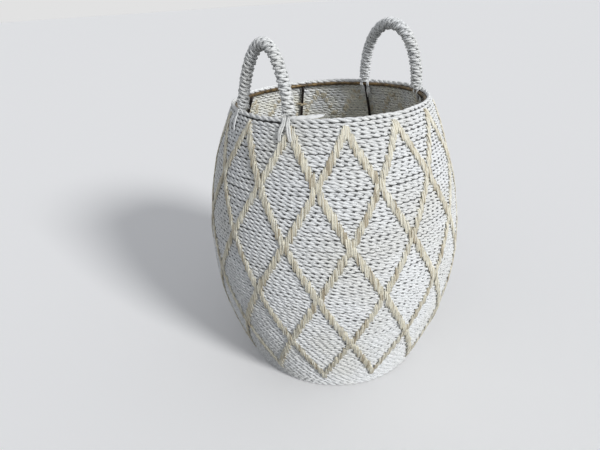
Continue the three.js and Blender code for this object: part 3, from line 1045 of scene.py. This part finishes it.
def make_tie(name, angle, number):
    """One tie of a leg that stands at angle. Its strand runs out, bends back in a loop and returns."""
    hand = (-1, 1)[number]
    line = tie_line(TIE_INSIDES[number], TIE_SPLAYS[number], TIE_BULGES[number])
    radius, height, side = line.T
    turn = angle + hand * side / radius
    centre = round_point(radius, turn, height)
    run = unit(np.gradient(centre, axis=0))
    around = np.stack([-np.sin(turn), np.cos(turn), 0 * turn], -1)
    face = unit(np.cross(run, around))
    around = np.cross(face, run)
    share = np.linspace(0, 1, len(line))
    leaf = np.exp(-(((share - 0.2) / 0.13) ** 2)) + 1.4 * np.exp(-(((share - 0.84) / 0.1) ** 2))
    size = 0.85 + 0.3 * leaf
    gap = TIE_STRAND_WIDE * 0.93 * size
    first = centre + around * gap[:, None]
    second = centre - around * gap[:, None]
    loop = np.linspace(0, math.pi, 9)[1:-1, None]
    bend = centre[0] + gap[0] * (np.cos(loop) * around[0] - np.sin(loop) * run[0])
    path = np.concatenate([first[::-1], bend, second])
    faces = np.concatenate([face[::-1], np.tile(face[0], (len(bend), 1)), face])
    sizes = np.concatenate([size[::-1], np.full(len(bend), size[0]), size])
    steps = np.linspace(0, 1, len(path))
    path = path + faces * (TIE_RIPPLE * np.sin(37 * steps + 5 * angle))[:, None]
    sides = unit(np.cross(unit(np.gradient(path, axis=0)), faces))
    ends = np.clip(np.minimum(steps, 1 - steps) * 14, 0.35, 1)
    wide = TIE_STRAND_WIDE * ends * sizes * (1 + 0.07 * np.sin(61 * steps + 3 * angle))
    tube = sweep(path, faces, sides, TIE_STRAND_THICK * ends * sizes, wide, FLAT_SIDES)
    piece = mesh_from_tubes(f"{name}_strand", [tube], WHITE, False, [rng.uniform(0, 1)])
    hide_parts(name)


for tie_side, (tie_angle, tie_half, *_) in HANDLES.items():
    for tie_leg, leg_sign in (("first", -1), ("second", 1)):
        leg_angle = math.radians(tie_angle + leg_sign * tie_half)
        for tie_number in range(2):
            make_tie(f"{tie_side}_handle_{tie_leg}_leg_tie_{tie_number + 1}", leg_angle, tie_number)


# Loose end of the left handle's tie, laid along the inner edge of the rim
def make_tail():
    t = np.linspace(0, 1, TAIL_STEPS)
    start = math.radians(HANDLES["left"][0] + HANDLES["left"][1]) + TAIL_START / ROPE_RADIUS
    angle = start + t * TAIL_LENGTH / ROPE_RADIUS
    radius = ROPE_RADIUS + TAIL_OUT - TAIL_DRIFT * t**1.4
    rise = TAIL_RISE * t**2 - TAIL_DROP
    centre = round_point(radius, angle, TIE_TOP + rise)
    run = unit(np.gradient(centre, axis=0))
    tilt = round_point(1, angle, 0 * angle + 1)
    side = unit(np.cross(run, tilt))
    size = np.clip(np.minimum(t * 9, (1 - t) * 4) ** 0.5, 0.25, 1)
    wide = TAIL_WIDE * size * (1 + 0.08 * np.sin(23 * t))
    tube = sweep(centre, np.cross(side, run), side, TAIL_THICK * size, wide, FLAT_SIDES)
    piece = mesh_from_tubes("left_handle_tie_tail", [tube], WHITE, False, [0.85])


make_tail()


# Wires
def wire_piece(node, points, outward, diameter, material, closed=False):
    """Round wire along a line of points, in place of a node. A closed one lies level."""
    run = unit(np.gradient(points, axis=0))
    side = straight_up(len(points)) if closed else unit(np.cross(run, outward))
    face = outward if closed else np.cross(side, run)
    tube = sweep(points, face, side, diameter / 2, diameter / 2, WIRE_SIDES)
    piece = mesh_from_tubes(f"{node}_wire", [tube], material, closed)
    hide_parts(node)


def make_ring(node, material):
    radius, height, diameter = ring_size(node)
    outward = outward_at(ring_angles(RING_STEPS))
    points = outward * radius
    points[:, 2] = height
    wire_piece(node, points, outward, diameter, material, True)


def make_rib(node):
    points = node_points(node)
    heights = np.unique(np.round(points[:, 2], 5))
    middles = np.array([points[np.abs(points[:, 2] - h) < SAME_HEIGHT].mean(0) for h in heights])
    low = points[points[:, 2] == points[:, 2].min()]
    diameter = np.linalg.norm(low - low.mean(0), axis=1).mean() * 2
    fine = np.linspace(heights[0], heights[-1], RIB_STEPS)
    line = np.stack([smooth_line(fine, heights, middles[:, i]) for i in range(3)], -1)
    outward = np.tile(unit(np.array([line[0, 0], line[0, 1], 0])), (RIB_STEPS, 1))
    wire_piece(node, line, outward, diameter, IRON)


def make_bar(node):
    points = node_points(node)
    middle = points.mean(0)
    axis = np.linalg.svd(points - middle)[2][0]
    reach = np.abs((points - middle) @ axis).max()
    off_axis = points - middle - np.outer((points - middle) @ axis, axis)
    diameter = 2 * np.linalg.norm(off_axis, axis=1).max()
    line = middle + np.linspace(-reach, reach, BAR_STEPS)[:, None] * axis
    wire_piece(node, line, straight_up(BAR_STEPS), diameter, IRON)


def make_lashing(node, height):
    """Strip of brown leaf that ties a rib to the wall: a few turns round the rib, and its two ends."""
    points = node_points(node)
    angle = math.atan2(points[:, 1].mean(), points[:, 0].mean())
    radius = wall_radius(height) - WALL_THICK - RIB_WIRE / 2
    outward = np.array([math.cos(angle), math.sin(angle), 0])
    around = np.array([-math.sin(angle), math.cos(angle), 0])
    upward = np.array([0.0, 0.0, 1.0])
    wound = np.linspace(0, 2 * math.pi * LASHING_TURNS, 24 * LASHING_TURNS)
    lift = (wound / wound[-1] - 0.5) * LASHING_HEIGHT
    circle = outward * -np.cos(wound)[:, None] + around * np.sin(wound)[:, None]
    centre = outward * radius + upward * (height + lift)[:, None]
    centre = centre + circle * (RIB_WIRE / 2 + LASHING_LIFT)
    tubes = [sweep(centre, circle, straight_up(len(wound)), LASHING_THICK, LASHING_WIDE)]
    for hand in (-1, 1):
        share = np.linspace(0, 1, LASHING_STEPS)
        along = hand * (RIB_WIRE / 2 + LASHING_END_LENGTH * share)
        inward = -RIB_WIRE / 2 - LASHING_END_LIFT + (RIB_WIRE + LASHING_END_GAP) * share**0.6
        rise = hand * LASHING_END_LIFT - LASHING_END_LIFT * share
        end = outward * (radius + inward)[:, None] + around * along[:, None]
        end = end + upward * (height + rise)[:, None]
        run = unit(np.gradient(end, axis=0))
        face = unit(np.cross(run, straight_up(LASHING_STEPS)))
        wide = LASHING_END_WIDE * (1 - 0.4 * share)
        tubes.append(sweep(end, face, np.cross(face, run), LASHING_THICK, wide))
    piece = mesh_from_tubes(f"{node}_lashing", tubes, PALM_INSIDE, False, [0.1, 0, 0.1])


make_ring("top_ring", BRONZE)
make_ring("base_ring", IRON)
for rib_number in range(1, 9):
    make_rib(f"rib_{rib_number}")
for lashed_rib, lashing_height in LASHINGS.items():
    make_lashing(lashed_rib, lashing_height)
for bar_name in ("base_bar_lower", "base_bar_upper"):
    make_bar(bar_name)
for core_name in ("left_handle_core", "right_handle_core"):
    NODES[core_name].data.materials[0] = IRON


# Floor, lights and camera
def camera_share(tree):
    """1 for what the camera sees, straight or mirrored, and 0 for the light that falls on the basket."""
    path = add_node(tree, "LightPath", {}).outputs
    total = path["Is Camera Ray"]
    for label in ("Is Glossy Ray", "Is Transmission Ray"):
        total = add_node(tree, "Math", {0: total, 1: path[label]}, operation="MAXIMUM").outputs[0]
    return total


def make_floor():
    bpy.ops.mesh.primitive_plane_add(size=FLOOR_SIZE, location=(0, 0, 0))
    floor = bpy.context.object
    floor.name = "floor"
    material, tree, shader = node_material("floor", 1.0)
    colour = mix(tree, "MIX", camera_share(tree), FLOOR_LIT, FLOOR_SEEN)
    fill(tree, shader, {"Base Color": colour, "Specular IOR Level": 0.0})
    floor.data.materials.append(material)


def make_world():
    """Sky that lights the basket from the horizon, and an even grey for the camera."""
    world = bpy.data.worlds.new("studio")
    world.use_nodes = True
    tree = world.node_tree
    lit = tree.nodes["Background"]
    direction = add_node(tree, "TexCoord", {}).outputs["Generated"]
    upward = add_node(tree, "SeparateXYZ", {0: direction}).outputs["Z"]
    overhead = ramp(tree, upward, [(0.0, HORIZON), (0.5, HORIZON), (1.0, ZENITH)])
    fill(tree, lit, {"Color": overhead, "Strength": 1.0})
    seen = add_node(tree, "Background", {"Color": SKY_SEEN, "Strength": SKY_STRENGTH})
    choice = add_node(tree, "MixShader", {0: camera_share(tree), 1: lit.outputs[0], 2: seen.outputs[0]})
    fill(tree, tree.nodes["World Output"], {"Surface": choice.outputs[0]})
    bpy.context.scene.world = world


def make_lamps():
    """Soft key from the right of the photograph's camera, and a faint one from above."""
    for name, (turn, height, power, softness) in LAMPS.items():
        lamp_data = bpy.data.lights.new(name, "SUN")
        lamp_data.energy = power
        lamp_data.angle = math.radians(softness)
        lamp = bpy.data.objects.new(name, lamp_data)
        azimuth = CAMERA_TURN + math.radians(turn - 90)
        rise = math.radians(height)
        x = math.cos(azimuth) * math.cos(rise)
        y = math.sin(azimuth) * math.cos(rise)
        toward = Vector((x, y, math.sin(rise)))
        lamp.location = LAMP_DISTANCE * toward
        lamp.rotation_euler = toward.to_track_quat("Z", "Y").to_euler()
        bpy.context.scene.collection.objects.link(lamp)


def make_camera():
    forward = Vector((
        math.sin(CAMERA_YAW) * math.cos(CAMERA_PITCH),
        math.cos(CAMERA_YAW) * math.cos(CAMERA_PITCH),
        -math.sin(CAMERA_PITCH),
    ))
    level = Vector((math.cos(CAMERA_YAW), -math.sin(CAMERA_YAW), 0))
    upright = level.cross(forward)
    right = math.cos(CAMERA_ROLL) * level + math.sin(CAMERA_ROLL) * upright
    up = math.cos(CAMERA_ROLL) * upright - math.sin(CAMERA_ROLL) * level
    facing = Matrix((right, up, -forward)).transposed().to_4x4()
    place = Matrix.Translation((0, -CAMERA_DISTANCE, CAMERA_HEIGHT))
    data = bpy.data.cameras.new("photo_camera")
    data.lens = CAMERA_LENS
    data.sensor_width = CAMERA_SENSOR
    camera = bpy.data.objects.new("photo_camera", data)
    camera.matrix_world = Matrix.Rotation(CAMERA_TURN, 4, "Z") @ place @ facing
    bpy.context.scene.collection.objects.link(camera)
    bpy.context.scene.camera = camera


make_floor()
make_world()
make_lamps()
make_camera()
bpy.context.scene.view_settings.view_transform = "Standard"
